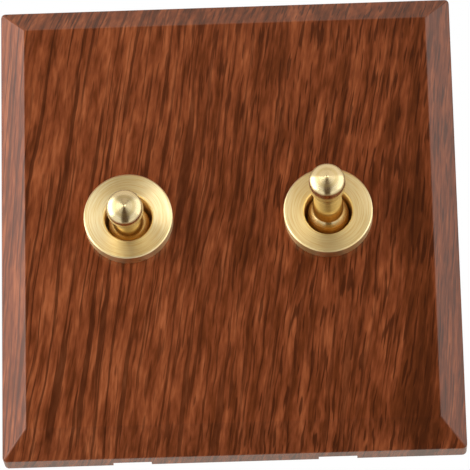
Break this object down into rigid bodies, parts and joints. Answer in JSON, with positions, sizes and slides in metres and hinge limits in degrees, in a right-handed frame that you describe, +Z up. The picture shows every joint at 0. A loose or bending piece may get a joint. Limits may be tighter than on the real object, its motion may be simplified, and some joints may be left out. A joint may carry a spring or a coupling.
{
  "type": "two-gang toggle light switch",
  "caption": "Square bevelled wood-grain wall plate with turned brass toggle levers in dished brass collars, over snap-action switches that work lighting circuits.",
  "frame": {"origin": "middle of the two wall-box fixing slots, on the wall face", "axes": "+X right, +Z up, +Y into the wall; the levers point out along -Y"},
  "size_m": [0.086, 0.0472, 0.089],
  "materials": {
    "wood_grain": "satin red-brown wood-grain film on a moulded shell",
    "frame_plastic": "moulded off-white plastic",
    "satin_brass": "turned, fine concentric lines, satin",
    "polished_brass": "turned and polished",
    "turned_brass": "as turned",
    "pin_steel": "ground",
    "zinc_steel": "zinc plated",
    "nickel_brass": "nickel plated",
    "phenolic": "moulded black phenolic",
    "cover_steel": "zinc plated sheet",
    "contact_brass": "rolled strip",
    "screw_steel": "zinc plated",
    "nylon": "moulded nylon",
    "spring_steel": "drawn wire"
  },
  "bodies": {
    "switch_body": {"fascia_panel": "wood_grain", "mounting_frame": "frame_plastic", "collar_left": "satin_brass", "bush_left": "turned_brass", "pivot_pin_left": "pin_steel", "lock_washer_left": "zinc_steel", "lock_nut_left": "nickel_brass", "switch_case_left": "phenolic", "switch_cover_left": "cover_steel", "common_terminal_left": "contact_brass", "upper_terminal_left": "contact_brass", "lower_terminal_left": "contact_brass", "clamp_plates_left": "zinc_steel", "terminal_screws_left": "screw_steel", "collar_right": "satin_brass", "bush_right": "turned_brass", "pivot_pin_right": "pin_steel", "lock_washer_right": "zinc_steel", "lock_nut_right": "nickel_brass", "switch_case_right": "phenolic", "switch_cover_right": "cover_steel", "common_terminal_right": "contact_brass", "upper_terminal_right": "contact_brass", "lower_terminal_right": "contact_brass", "clamp_plates_right": "zinc_steel", "terminal_screws_right": "screw_steel"},
    "left_lever": {"lever_left": "polished_brass", "plunger_spring_left": "spring_steel"},
    "left_plunger": {"plunger_left": "nylon"},
    "left_rocker": {"rocker_left": "contact_brass"},
    "right_lever": {"lever_right": "polished_brass", "plunger_spring_right": "spring_steel"},
    "right_plunger": {"plunger_right": "nylon"},
    "right_rocker": {"rocker_right": "contact_brass"}
  },
  "joints": [
    {"name": "left_lever_hinge", "type": "hinge", "parent": "switch_body", "child": "left_lever", "pos_m": [-0.0187, -0.0044, 0], "axis": [1, 0, 0], "range_deg": [-12.4, 0]},
    {"name": "left_plunger_slide", "type": "slide", "parent": "left_lever", "child": "left_plunger", "axis": [0, -0.9942, -0.108], "range_m": [0, 0.0008], "stiffness_N_per_m": 400, "springref_m": -0.004, "deforming": ["plunger_spring_left"]},
    {"name": "left_rocker_hinge", "type": "hinge", "parent": "switch_body", "child": "left_rocker", "pos_m": [-0.0187, 0.012, 0], "axis": [1, 0, 0], "range_deg": [0, 16]},
    {"name": "right_lever_hinge", "type": "hinge", "parent": "switch_body", "child": "right_lever", "pos_m": [0.0187, -0.0044, 0], "axis": [1, 0, 0], "range_deg": [0, 12.4]},
    {"name": "right_plunger_slide", "type": "slide", "parent": "right_lever", "child": "right_plunger", "axis": [0, -0.9942, 0.108], "range_m": [0, 0.0008], "stiffness_N_per_m": 400, "springref_m": -0.004, "deforming": ["plunger_spring_right"]},
    {"name": "right_rocker_hinge", "type": "hinge", "parent": "switch_body", "child": "right_rocker", "pos_m": [0.0187, 0.012, 0], "axis": [1, 0, 0], "range_deg": [-16, 0]}
  ],
  "couplings": [
    {"joint": "left_rocker_hinge", "follows": "left_lever_hinge", "ratio": -1.29},
    {"joint": "right_rocker_hinge", "follows": "right_lever_hinge", "ratio": -1.29}
  ]
}
